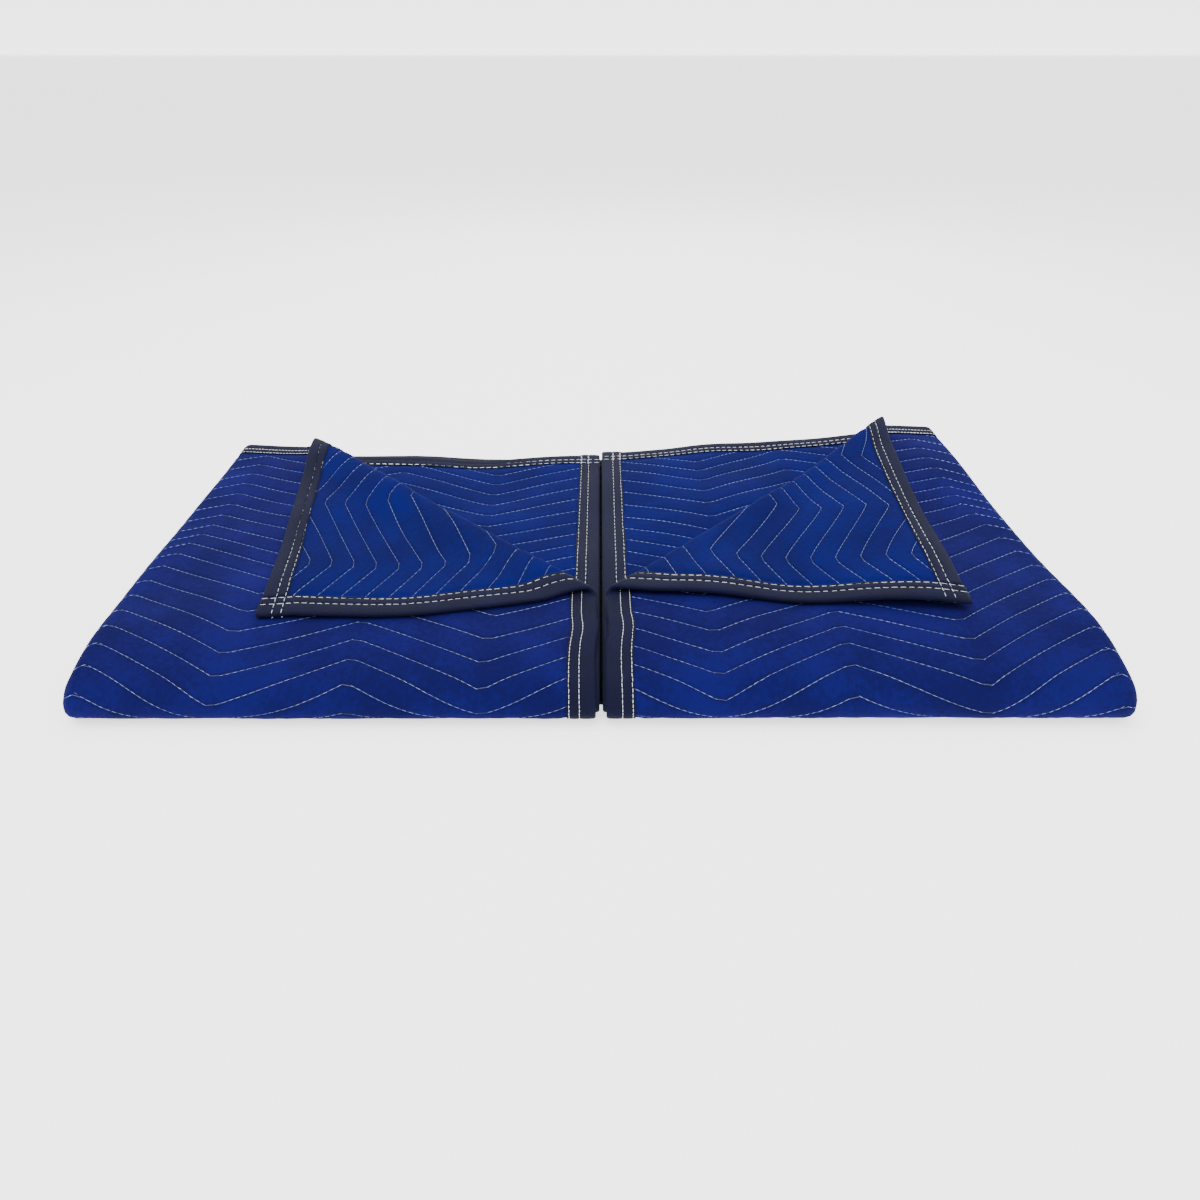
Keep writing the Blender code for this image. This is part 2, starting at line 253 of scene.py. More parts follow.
@dataclass(frozen=True)
class Unevenness:
    """How the pack departs from a true block, in metres; its underside stays flat.

    Attributes:
        rises: How far the top rises, by world X and Y; the last one sags.
        shifts: How far the right end spreads at the front and draws in at the back.
        front_draw: Share by which the front of the left half draws in to the middle.
        middle_shift: How far the middle lies to the right, fading over middle_reach.
        right_puff: How far the right flaps stand off the layers below, from puff_back on.
        nose_drop: Share of the height lost from Y nose_start over nose_length forwards.
        nose_power: Power of that fall; a larger one keeps the front fuller.
        flap_slide: How far the left inner flap lies forward, by distance from the middle and the back.
        wanders: Distance, place and width of each bump by which the outer flaps' middle edges
            wander, fading over wander_reach.
        soft_hollow: Depth of the soft hollows.
    """

    rises: tuple[Swell, ...] = (
        Swell(0.006, ((0.0, 0.16),)),
        Swell(0.010, ((0.0, 0.42),), ((-0.10, 0.24),)),
        Swell(0.010, ((0.20, 0.44),), ((-0.06, 0.24),)),
        Swell(0.005, ((-0.08, -0.24),), ((-0.10, 0.24),)),
        Swell(-0.004, ((-0.32, -0.04), (0.08, 0.0)), ((-0.15, 0.20),)),
    )
    shifts: tuple[Swell, ...] = (
        Swell(0.006, ((0.0, 0.45),), ((0.25, -0.25),)),
        Swell(-0.024, ((0.0, 0.45),), ((-0.25, 0.25),)),
    )
    front_draw: Swell = Swell(0.012, ((0.10, -0.10),), ((-0.08, -0.25),))
    middle_shift: float = 0.007
    middle_reach: float = 0.44
    right_puff: float = 0.005
    puff_back: float = 0.10
    nose_drop: float = 0.47
    nose_start: float = -0.140
    nose_length: float = 0.1064
    nose_power: float = 2.3
    flap_slide: Swell = Swell(0.018, ((-0.03, -0.17), (-0.44, -0.34)), ((0.30, 0.10),))
    wanders: tuple[tuple[float, float, float], ...] = ((0.0020, 0.395, 0.016), (-0.0009, 0.440, 0.030))
    wander_reach: float = 0.16
    soft_hollow: float = 0.0016


@dataclass(frozen=True)
class Folding:
    """The chain of folds that takes the flat cloth into the pack.

    Attributes:
        pack_start: Run at which the fold at the front begins.
        inner_flap: Heights between which the inner flaps lie, in layers.
        outer_flap: Height above which the outer flaps lie.
        corner_margin: Margin round what the corners show.
        corner_depth: Distance from the cloth's ends within which they can show anything.
        front_margin: Distance past the front's bend up to which the cloth shows.
    """

    cloth: Cloth = Cloth()
    uneven: Unevenness = Unevenness()
    pack_start: float = 0.4545
    corners: tuple[TurnedCorner, ...] = (
        TurnedCorner(Side.LEFT, 0.3830, 0.3496, 0.0040, 0.0090, -0.0425, 0.0210, 0.030, 0.0015),
        TurnedCorner(Side.RIGHT, 0.4030, 0.3500, 0.0042, 0.0055, 0.0010, 0.0080, 0.055, 0.0070),
    )
    inner_flap: Span = (1.4, 2.4)
    outer_flap: float = 2.6
    corner_margin: float = 0.02
    corner_depth: float = 0.5
    front_margin: float = 0.03

    @property
    def side_radius(self) -> float:
        """Radius of the side folds, at the outer layer."""
        return 1.5 * self.cloth.pitch

    @property
    def pack_radius(self) -> float:
        """Radius of the fold at the front, at the outermost layer."""
        return 3.5 * self.cloth.pitch

    @property
    def half_radius(self) -> float:
        """Radius of the fold at the back of the lower layers."""
        return 0.5 * self.cloth.pitch

    @property
    def side_start(self) -> float:
        """Distance from the middle at which the side folds begin."""
        turned = math.pi * self.side_radius
        return (self.cloth.half_width + self.cloth.centre_gap / 2.0 - turned) / 2.0

    @property
    def flap_start(self) -> float:
        """Distance from the middle, along the cloth, at which the flaps begin."""
        return self.side_start + math.pi * self.side_radius

    @property
    def half_start(self) -> float:
        """Run at which the fold at the back of the lower layers begins."""
        return (self.cloth.length - math.pi * self.half_radius) / 2.0

    @property
    def pack_end(self) -> float:
        """Run at which the fold at the front ends."""
        return self.pack_start + math.pi * self.pack_radius

    @property
    def middle_run(self) -> float:
        """Run that lies over the origin, midway between the front and the back of the pack."""
        front = self.pack_start + self.pack_radius + self.cloth.half
        back = self.pack_start + self.pack_end - self.half_start - self.half_radius - self.cloth.half
        return (front + back) / 2.0

    def above(self, layers: float, height: Array) -> Array:
        """Share from 0 to 1 by which a height lies above so many layers, over a fifth of a layer."""
        return np.clip((height / self.cloth.pitch - layers) / 0.2, 0.0, 1.0)

    def in_inner_flap(self, height: Array) -> Array:
        """Share from 0 to 1 by which a height lies in the inner flaps."""
        return self.above(self.inner_flap[0], height) - self.above(self.inner_flap[1], height)

    def close_gap(self, x: Array, height: Array) -> Array:
        """Let the edges of the inner flaps meet, under the gap between the outer ones."""
        reach = np.clip(1.0 - np.abs(x) / self.side_start, 0.0, 1.0)
        closing = (self.cloth.centre_gap - self.cloth.inner_gap) / 2.0
        return x - np.sign(x) * closing * self.in_inner_flap(height) * reach

    def slide_inner(self, x: Array, run: Array, height: Array) -> Array:
        """Let the left inner flap lie further forward than the layer below, whose binding shows."""
        return run + self.in_inner_flap(height) * self.uneven.flap_slide.at(x, run)

    def wave_edges(self, x: Array, run: Array, height: Array) -> Array:
        """Let the outer flaps' middle edges wander a few millimetres from side to side."""
        near = smooth_step(self.uneven.wander_reach, 0.0, np.abs(x))
        wander = sum(distance * bump_at(at, width, run) for distance, at, width in self.uneven.wanders)
        return x + wander * self.above(self.outer_flap, height) * near

    def puff_flaps(self, x: Array, run: Array, height: Array) -> Array:
        """Lift the right flaps a little off the layers below; they lie close again round the front."""
        right = np.where(x > 0.0, self.uneven.right_puff, 0.0)
        back = smooth_step(self.pack_start, self.uneven.puff_back, run)
        return height + self.above(self.inner_flap[0], height) * right * back

    def settle(self, x: Array, y: Array, z: Array) -> Triple:
        """Let the pack lie unevenly: each rise grows with height from nothing at the ground."""
        uneven = self.uneven
        share = z / self.cloth.stack
        rise = swollen(uneven.rises, x, y) - uneven.soft_hollow * self.hollows(x, y)
        middle = uneven.middle_shift * smooth_step(uneven.middle_reach, 0.0, np.abs(x))
        drawn = 1.0 - uneven.front_draw.at(x, y)
        ahead = np.maximum(uneven.nose_start - y, 0.0) / uneven.nose_length
        kept = 1.0 - uneven.nose_drop * ahead ** uneven.nose_power
        return x * drawn + swollen(uneven.shifts, x, y) + middle, y, (z + share * rise) * kept

    @staticmethod
    def hollows(x: Array, y: Array) -> Array:
        """Soft hollows and swells a hand's breadth across, as a sum of a few crossing sine waves."""
        return (np.sin(23.0 * x + 9.0 * y + 0.6) * np.sin(17.0 * y - 6.0 * x + 1.1)
                + 0.6 * np.sin(41.0 * x - 14.0 * y + 2.0) * np.sin(29.0 * y + 11.0 * x))

    def fold(self, u: Array, v: Array, n: Array) -> Array:
        """Take points of the flat cloth to their places in the pack, none of them below the ground.

        The flat cloth's u runs across its width, v along its length and n through its thickness.
        """
        run, height = bend_over(v, n, self.half_start, self.half_radius, self.half_radius)
        x, height = bend_over(np.abs(u), height, self.side_start, self.side_radius, self.side_radius)
        x = self.close_gap(np.sign(u) * x, height)
        run = self.slide_inner(x, run, height)
        for corner in self.corners:
            x, run, height = corner.turn(x, run, height, self.cloth)
        x = self.wave_edges(x, run, height)
        height = self.puff_flaps(x, run, height)
        run, height = bend_over(run, height, self.pack_start, -0.5 * self.cloth.pitch, self.pack_radius)
        ground = 4.0 * self.cloth.pitch + self.cloth.half
        x, y, z = self.settle(x, self.middle_run - run, height + ground)
        return np.stack((x, y, np.maximum(z, 0.0)), axis=-1)

    def exposed_outer(self, u: Array, v: Array) -> Array:
        """Whether the outer face shows: the outermost layer's flaps and side folds, top, front, under."""
        return (np.abs(u) > self.side_start) & (v < self.half_start)

    def exposed_inner(self, u: Array, v: Array) -> Array:
        """Whether the inner face shows: the turned corners and what they uncover, with some margin."""
        across = self.side_start + self.flap_start - np.abs(u)
        run = np.minimum(v, self.cloth.length - v)
        shows = np.zeros(np.shape(u), dtype=bool)
        for corner in self.corners:
            outer, inner = corner.outer + self.corner_margin, corner.inner + self.corner_margin
            line = across / outer + run / inner
            shows |= (np.sign(u) == corner.side.value) & (line < 1.0)
        return shows & ((v < self.corner_depth) | (v > self.cloth.length - self.corner_depth))


AT_ENDS: Span = (0.72, 0.48)
AT_MIDDLE: Span = (0.48, 0.72)
TURNED: Span = (0.30, 0.21)
LEAN = Swell(0.029, (), ((0.40, 0.18),))
FAR_ROWS = (Swell(-0.008), Swell(0.020, (), ((1.76022, 1.9107),)))


@dataclass(frozen=True)
class Quilting:
    """Zigzag rows of stitching and the padding between them.

    The rows are not quite even. Their shifts come in pairs, for the left and the right half, by distance
    from the cloth's middle and along its length. AT_ENDS is the outer part of the flaps, AT_MIDDLE the
    part next to the gap, and TURNED the turned corners.

    Attributes:
        row_pitch: Distance from row to row along the cloth.
        row_offset: Place of the first row.
        reach: Distance from one point of the zigzag to the next, across the width.
        swing: Distance from its front points to its back points.
        front_point: Distance of a front point from the middle.
        drift: How much further out the front points lie in the second half of the cloth.
        groove: Half thickness under the stitches.
        crest: How much the padding rises between rows.
        roundness: Power of the padding's profile; a smaller one is fuller.
        second_half: Where the first half's shifts give way to the second half's.
        blend: Distance from the middle over which left gives way to right.
        tip_start: Distance from the middle at which the rows bend back towards the gap.
        near_rows: Shifts of the rows in the first half; far_rows has the second half's.
        points: Shifts of the front points away from the middle.
        tips: Slopes of the rows past tip_start.
    """

    row_pitch: float = 0.0252
    row_offset: float = 0.0200
    reach: float = 0.1147
    swing: float = 0.053
    front_point: float = 0.8255
    drift: float = 0.0885
    groove: float = 0.00160
    crest: float = 0.00115
    roundness: float = 0.55
    second_half: Span = (1.089, 1.386)
    blend: float = 0.25
    tip_start: float = 0.845
    near_rows: SwellPair = (
        (Swell(0.013, (AT_ENDS,)), Swell(-0.019, (AT_ENDS,), ((0.20, 0.32),)), Swell(-0.005, (AT_MIDDLE,)),
         Swell(0.021, (AT_MIDDLE,), ((0.31, 0.39),)), Swell(-0.005, (AT_MIDDLE,), ((0.41, 0.47),))),
        (Swell(0.023, (AT_ENDS,)), Swell(-0.043, (AT_ENDS,), ((0.10, 0.28),)), Swell(0.005, (AT_MIDDLE,)),
         Swell(0.003, (AT_MIDDLE,), ((0.30, 0.38),)), Swell(-0.011, (AT_MIDDLE,), ((0.39, 0.475),)),
         Swell(-0.012, ((0.50, 0.62),), (TURNED,))),
    )
    far_rows: SwellPair = (
        (*FAR_ROWS, Swell(0.014, ((0.899, 0.759), (0.40, 0.55)))),
        (*FAR_ROWS, Swell(0.007, ((0.40, 0.55),))),
    )
    points: SwellPair = (
        (LEAN, Swell(-0.007, ((0.50, 0.65),), ((0.30, 0.20),))),
        (LEAN, Swell(0.0165, ((0.50, 0.62), (0.845, 0.75)), ((0.30, 0.20),))),
    )
    tips: SwellPair = ((Swell(0.24, (), (TURNED,)),), (Swell(0.07, (), (TURNED,)),))

    def by_side(self, pair: SwellPair, u: Array, v: Array) -> Array:
        """Sum of the left half's swells or the right half's, blended over the middle."""
        right = smooth_step(-self.blend, self.blend, u)
        away = np.abs(u)
        return swollen(pair[0], away, v) * (1.0 - right) + swollen(pair[1], away, v) * right

    def zigzag(self, u: Array, v: Array) -> Array:
        """Displacement of the rows along v: a triangle wave of the distance from the middle, and shifts."""
        late = smooth_step(*self.second_half, v)
        front = self.front_point + self.drift * late + self.by_side(self.points, u, v)
        place = (np.abs(u) - front) / (2.0 * self.reach)
        wave = 1.0 - 4.0 * np.abs(place - np.floor(place + 0.5))
        shift = self.by_side(self.near_rows, u, v) * (1.0 - late) + self.by_side(self.far_rows, u, v) * late
        bent = self.by_side(self.tips, u, v) * np.maximum(np.abs(u) - self.tip_start, 0.0)
        return 0.5 * self.swing * wave + shift - bent

    def slope(self, u: Array, v: Array) -> Array:
        """Slope of the rows, dv over du."""
        step = 1.0e-5
        return (self.zigzag(u + step, v) - self.zigzag(u - step, v)) / (2.0 * step)

    def past_row(self, u: Array, v: Array) -> Array:
        """Distance past the first row, along v, that a point has before the rows are displaced."""
        base = v
        for _ in range(8):
            base = v - self.zigzag(u, base)
        return base - self.row_offset

    def puff(self, u: Array, v: Array) -> Array:
        """Rise of the padding, |sin| of the row place to a power: 0 on the stitches and 1 midway."""
        return np.abs(np.sin(math.pi * self.past_row(u, v) / self.row_pitch)) ** self.roundness

    def numbers(self, length: float) -> Array:
        """Numbers of the rows, with two to spare beyond each end of the cloth."""
        return np.arange(-2, math.ceil(length / self.row_pitch) + 2)


def graded(*stops: tuple[float, float]) -> Array:
    """Stations in stretches, each given by its start and its spacing; the last one only ends the list."""
    runs = []
    for (start, spacing), (end, _) in zip(stops, stops[1:]):
        runs.append(np.linspace(start, end, max(1, round((end - start) / spacing)), endpoint=False))
    return np.concatenate(runs + [np.array([stops[-1][0]])])


def mirrored(stations: Array) -> Array:
    """Stations on both sides of the middle, which counts once."""
    return np.concatenate((-stations[:0:-1], stations))


def read(items: Any, name: str, kind: type = np.float32, size: int = 1) -> Array:
    """One attribute of all the items, with a row for each item where it has several parts."""
    values = np.empty(len(items) * size, dtype=kind)
    items.foreach_get(name, values)
    return values.reshape(-1, size) if size > 1 else values


def lay_on_map(mesh: bpy.types.Mesh, places: Array) -> None:
    """Give the mesh a map, with a place for each corner of each face."""
    mesh.uv_layers.new(name="UVMap").data.foreach_set("uv", places.astype(np.float32).ravel())


@dataclass
class Slab:
    """A closed flat slab: two faces on one grid of stations, and a rim all round.

    Attributes:
        places: Vertex places in the flat cloth, one row each of u, v and n.
        pattern: Where each vertex lies in its surface's pattern, one row each.
        quads: Vertex numbers of each face.
        kinds: 0 for a face of the lower grid, 1 for the upper one and 2 for the rim.
    """

    places: Array
    pattern: Array
    quads: Array
    kinds: Array

    @classmethod
    def on_grid(cls, lower: Triple, upper: Triple, lower_pattern: Triple, upper_pattern: Triple) -> "Slab":
        """Close two grids of u, v and n into a slab, with a rim face for each step round their border."""
        rows, columns = lower[0].shape
        number = np.arange(rows * columns).reshape(rows, columns)
        cells = np.stack((number[:-1, :-1], number[1:, :-1], number[1:, 1:], number[:-1, 1:]), axis=-1)
        cells = cells.reshape(-1, 4)
        loop = np.concatenate((number[:-1, 0], number[-1, :-1], number[:0:-1, -1], number[0, :0:-1]))
        after = np.roll(loop, -1)
        count = rows * columns
        rim = np.stack((loop, loop + count, after + count, after), axis=-1)
        quads = np.concatenate((cells, cells[:, ::-1] + count, rim))
        kinds = np.repeat((0, 1, 2), (len(cells), len(cells), len(rim)))
        joined = [np.concatenate([np.stack([row.ravel() for row in grid]) for grid in pair], axis=1)
                  for pair in ((lower, upper), (lower_pattern, upper_pattern))]
        return cls(joined[0].T, joined[1].T, quads, kinds)


class Tailor:
    """Makes pieces of the flat cloth, scores them along the creases of the turned corners and folds them."""

    PLACE = "cloth_place"
    SCORES = (*np.linspace(0.0, math.pi, 13), *(math.pi + np.array((1.2, 2.6, 4.2, 7.0))))

    def __init__(self, folding: Folding) -> None:
        """Keep the folds that every piece goes through."""
        self.folding = folding

    def score(self, cloth: bmesh.types.BMesh) -> None:
        """Cut the faces along rays from both cones' apexes, so that the cloth bends exactly there."""
        folding = self.folding
        for corner in folding.corners:
            sign = corner.side.value
            apex, direction, towards, slope = corner.cone(folding.cloth.centre_gap)
            apex_u = sign * (folding.flap_start + folding.side_start) - apex[0]
            faces = [face for face in cloth.faces
                     if all(vertex.co.x * sign > folding.flap_start - 0.001
                            and vertex.co.y < folding.pack_start + 0.001 for vertex in face.verts)]
            edges = list({edge for face in faces for edge in face.edges})
            verts = list({vertex for face in faces for vertex in face.verts})
            geometry = verts + edges + faces
            for fan in self.SCORES:
                ruling = direction * math.cos(fan * slope) + towards * math.sin(fan * slope)
                cut = bmesh.ops.bisect_plane(cloth, geom=geometry, dist=1.0e-6,
                                             plane_co=(apex_u, apex[1], 0.0),
                                             plane_no=(ruling[1], ruling[0], 0.0))
                geometry = cut["geom"]

    def make(self, name: str, slab: Slab, finishes: Sequence[bpy.types.Material]) -> bpy.types.Object:
        """Fold a slab and make it a piece, with its pattern places as an attribute and a map.

        The finishes are for the lower grid, the upper grid and the rim.
        """
        mesh = bpy.data.meshes.new(name)
        mesh.from_pydata(slab.places, [], slab.quads)
        for finish in finishes:
            mesh.materials.append(finish)
        mesh.polygons.foreach_set("material_index", slab.kinds.astype(np.int32))
        attribute = mesh.attributes.new(self.PLACE, "FLOAT_VECTOR", "POINT")
        attribute.data.foreach_set("vector", slab.pattern.astype(np.float32).ravel())
        cloth = bmesh.new()
        cloth.from_mesh(mesh)
        self.score(cloth)
        cloth.to_mesh(mesh)
        cloth.free()
        self.lay_out(mesh)
        folded = self.folding.fold(*read(mesh.vertices, "co", size=3).astype(float).T)
        mesh.vertices.foreach_set("co", folded.astype(np.float32).ravel())
        mesh.update()
        if signed_volume(mesh) < 0.0:
            mesh.flip_normals()
        mesh.shade_smooth()
        return place(name, mesh)

    @staticmethod
    def lay_out(mesh: bpy.types.Mesh) -> None:
        """Lay the lower faces and the rim on the left half of the map, the upper faces on its right."""
        loops = read(mesh.loops, "vertex_index", np.int32)
        kinds = read(mesh.polygons, "material_index", np.int32)
        flat = read(mesh.vertices, "co", size=3)[:, :2]
        low, high = flat.min(axis=0), flat.max(axis=0)
        share = ((flat - low) / (high - low))[loops]
        kind = np.repeat(kinds, read(mesh.polygons, "loop_total", np.int32))
        across = 0.01 + 0.47 * share[:, 0] + np.where(kind == 1, 0.5, 0.0)
        lay_on_map(mesh, np.stack((across, 0.01 + 0.98 * share[:, 1]), axis=-1))


def signed_volume(mesh: bpy.types.Mesh) -> float:
    """Volume inside a closed mesh, negative where its faces point inwards: a sum of a.(b x c)/6."""
    mesh.calc_loop_triangles()
    triangles = read(mesh.loop_triangles, "vertices", np.int32, 3)
    points = read(mesh.vertices, "co", size=3).astype(float)
    a, b, c = points[triangles].transpose(1, 0, 2)
    return float(np.einsum("ij,ij->", a, np.cross(b, c)) / 6.0)


def place(name: str, data: bpy.types.ID) -> bpy.types.Object:
    """Put a mesh, a light or a camera into the scene as an object at the origin."""
    piece = bpy.data.objects.new(name, data)
    bpy.context.scene.collection.objects.link(piece)
    return piece


@dataclass(frozen=True)
class Panel:
    """The quilted panel: padding between an outer and an inner cloth, pinched thin under the bindings.

    Attributes:
        setback: Distance from the finished edge to the panel's own edge.
        pinched: Half thickness under the bindings.
        pinch: Distances from the finished edge over which it swells to its full thickness.
        crowding: Least distance between the grid's rows at the ends.
        phases: Places of the grid's rows between two stitched rows, where the cloth shows.
        far_fine: Distance from the far end within which the cloth shows, at the turned corners.
        flatness: Share by which the side folds pull the cloth flat.
        pulled_to: Rise of the padding to which they pull it.
    """

    folding: Folding
    quilting: Quilting = Quilting()
    setback: float = 0.00275
    pinched: float = 0.00125
    pinch: Span = (0.0256, 0.0345)
    crowding: float = 0.00022
    phases: tuple[float, ...] = (0.0, 0.07, 0.24, 0.5, 0.76, 0.93)
    far_fine: float = 0.34
    flatness: float = 0.75
    pulled_to: float = 0.55

    def half_thickness(self, u: Array, v: Array) -> Array:
        """Half thickness of the cloth: grooves on the rows, crests between, thin at the edges."""
        cloth, middle = self.folding.cloth, 0.5 * (self.folding.side_start + self.folding.flap_start)
        edge = np.minimum(cloth.half_width - np.abs(u), np.minimum(v, cloth.length - v))
        pulled = self.flatness * smooth_step(0.060, 0.020, np.abs(np.abs(u) - middle))
        puff = self.quilting.puff(u, v)
        full = self.quilting.groove + self.quilting.crest * (puff + pulled * (self.pulled_to - puff))
        return self.pinched + (full - self.pinched) * smooth_step(*self.pinch, edge)

    def across(self) -> Array:
        """Stations across the width, close together where the cloth shows."""
        folding, half = self.folding, self.folding.cloth.half_width
        turned = folding.flap_start - folding.side_start
        return mirrored(graded(
            (0.0, 0.036), (0.42, 0.012), (folding.side_start, turned / 8.0), (folding.flap_start, 0.0095),
            (half - 0.036, 0.003), (half - 0.0254, 0.012), (half - self.setback, 0.0)))

    def rows(self) -> Array:
        """Places of the grid's rows before they are displaced: fine where the cloth shows, coarse inside."""
        length, front = self.folding.cloth.length, self.folding.pack_end + self.folding.front_margin
        numbers = self.quilting.numbers(length)[:, None]
        parts = [graded((0.5 * length - 0.019, 0.005), (0.5 * length - 0.007, 0.0011),
                        (0.5 * length + 0.007, 0.005), (0.5 * length + 0.019, 0.0))]
        for phases, low, high in ((self.phases, -0.05, front),
                                  ((0.0, 0.5), front, 0.5 * length - 0.02),
                                  ((0.0,), 0.5 * length + 0.02, length - self.far_fine),
                                  (self.phases, length - self.far_fine, length + 0.05)):
            places = (numbers + np.array(phases)).ravel()
            v = self.quilting.row_offset + self.quilting.row_pitch * places
            parts.append(v[(v >= low) & (v < high)])
        return np.sort(np.concatenate(parts))

    def slab(self) -> Slab:
        """The flat panel. Its grid follows the zigzag rows, except at the half fold and under the ends."""
        cloth, across, rows = self.folding.cloth, self.across(), self.rows()
        u, base = np.meshgrid(across, rows, indexing="ij")
        away = smooth_step(0.012, 0.10, np.abs(base - 0.5 * cloth.length))
        v = base + away * self.quilting.zigzag(u, base)
        rank = np.arange(len(rows))
        v = np.maximum(v, self.setback + self.crowding * rank)
        v = np.minimum(v, cloth.length - self.setback - self.crowding * rank[::-1])
        half = self.half_thickness(u, v)
        pattern = (u, v, self.quilting.past_row(u, v))
        return Slab.on_grid((u, v, -half), (u, v, half), pattern, pattern)


@dataclass(frozen=True)
class Binding:
    """Webbing folded over the edges, with a shallow trough along each of its two stitched rows.

    Attributes:
        gap: Distance from the finished edge to the webbing's round, and between two bindings at a corner.
        rows: Distances of the stitched rows from the webbing's inner edge.
        trough: Depth of the troughs, and trough_width half their width.
        crown: Swelling of the webbing between them.
        crown_power: Power of its profile; a smaller one is fuller.
        waver: How much the inner edge wavers.
    """

    folding: Folding
    thickness: float = 0.0009
    gap: float = 0.0003
    rows: tuple[float, ...] = (0.0020, 0.0110)
    trough: float = 0.00034
    trough_width: float = 0.0008
    crown: float = 0.00030
    crown_power: float = 0.7
    waver: float = 0.0006

    @property
    def round_radius(self) -> float:
        """Radius of the middle of the webbing round the edge."""
        return self.folding.cloth.half - self.thickness / 2.0

    @property
    def leg(self) -> float:
        """Width of each flat side of the folded webbing."""
        return self.folding.cloth.binding_width - self.folding.cloth.half - self.gap

    @property
    def girth(self) -> float:
        """Width of the webbing before it was folded."""
        return 2.0 * self.leg + math.pi * self.round_radius

    def section(self, girth: Array, side: float) -> tuple[Array, Array]:
        """Distance from the edge, and height, of each place across the webbing.

        The outer surface (side -1) dips by a round bump at each row and swells between the rows and the
        fold; the inner one (side 1) is plain.
        """
        offset = np.full(np.shape(girth), side * self.thickness / 2.0)
        if side < 0.0:
            for row in self.rows:
                for at in (row, self.girth - row):
                    offset += self.trough * bump_at(at, self.trough_width, girth)
            for low, high in zip(self.rows, self.rows[1:] + (self.leg,)):
                for start, end in ((low, high), (self.girth - high, self.girth - low)):
                    share = np.clip((girth - start) / (end - start), 0.0, 1.0)
                    offset -= self.crown * np.sin(math.pi * share) ** self.crown_power
        reach, height = bend_over(girth, offset - self.round_radius, self.leg, 0.0, self.round_radius)
        return self.folding.cloth.binding_width - reach, height

    def girth_stations(self) -> Array:
        """Stations across the webbing, close together at the rows and round the edge."""
        first, second = self.rows
        half = graded((0.0, 0.0007), (first + 0.0014, 0.0028), (second - 0.0014, 0.0007),
                      (second + 0.0014, 0.0033), (self.leg, math.pi * self.round_radius / 8.0),
                      (self.girth / 2.0, 0.0))
        return np.concatenate((half, self.girth - half[-2::-1]))

    def slab(self, stations: Array, edge: "Edge") -> Slab:
        """One flat strip of folded webbing, with girth and run along the edge as its pattern."""
        girth, run = np.meshgrid(self.girth_stations(), stations, indexing="ij")
        sides, patterns = [], []
        for side in (-1.0, 1.0):
            distance, height = self.section(girth, side)
            inner = smooth_step(0.6 * self.leg, self.leg, np.maximum(distance, 0.0))
            wavering = np.sin(61.0 * run + 1.7) + 0.6 * np.sin(147.0 * run + 0.4)
            distance = distance + self.waver * inner * wavering / 1.6
            sides.append(edge.in_cloth(distance, run, height, self.folding.cloth))
            patterns.append((girth, run, height))
        return Slab.on_grid(sides[0], sides[1], patterns[0], patterns[1])


class Edge(Enum):
    """The four edges of the cloth."""

    LEFT = "side_binding_left"
    RIGHT = "side_binding_right"
    NEAR = "end_binding_a"
    FAR = "end_binding_b"

    @property
    def is_side(self) -> bool:
        """Whether it is one of the two long edges."""
        return self in (Edge.LEFT, Edge.RIGHT)

    def in_cloth(self, distance: Array, run: Array, height: Array, cloth: Cloth) -> Triple:
        """Cloth coordinates of a place given by its distance from this edge and its run along it."""
        if self is Edge.LEFT:
            return distance - cloth.half_width, run, height
        if self is Edge.RIGHT:
            return cloth.half_width - distance, run, height
        if self is Edge.NEAR:
            return run, distance, height
        return run, cloth.length - distance, height

    def stations(self, folding: Folding, gap: float) -> Array:
        """Places along the edge, close together in the folds and on the turned corners."""
        cloth, turned = folding.cloth, folding.flap_start - folding.side_start
        if self.is_side:
            middle = 0.5 * cloth.length
            return graded((0.0, 0.0045), (folding.pack_end + 0.02, 0.012), (middle - 0.0075, 0.0011),
                          (middle + 0.0075, 0.012), (cloth.length - 0.40, 0.006), (cloth.length, 0.0))
        end = cloth.half_width - cloth.binding_width - gap
        return mirrored(graded((0.0, 0.03), (0.42, 0.008), (folding.side_start, turned / 10.0),
                               (folding.flap_start, 0.0045), (end, 0.0)))


@dataclass(frozen=True)
class Thread:
    """One kind of stitch: a grain of thread, in metres.

    Attributes:
        pitch: Distance from one stitch to the next.
        length: Length that shows.
        width: Width of the thread.
        height: How far it stands above the cloth at its place.
        bed: How far it reaches below that.
    """

    pitch: float
    length: float
    width: float
    height: float
    bed: float = 0.0005


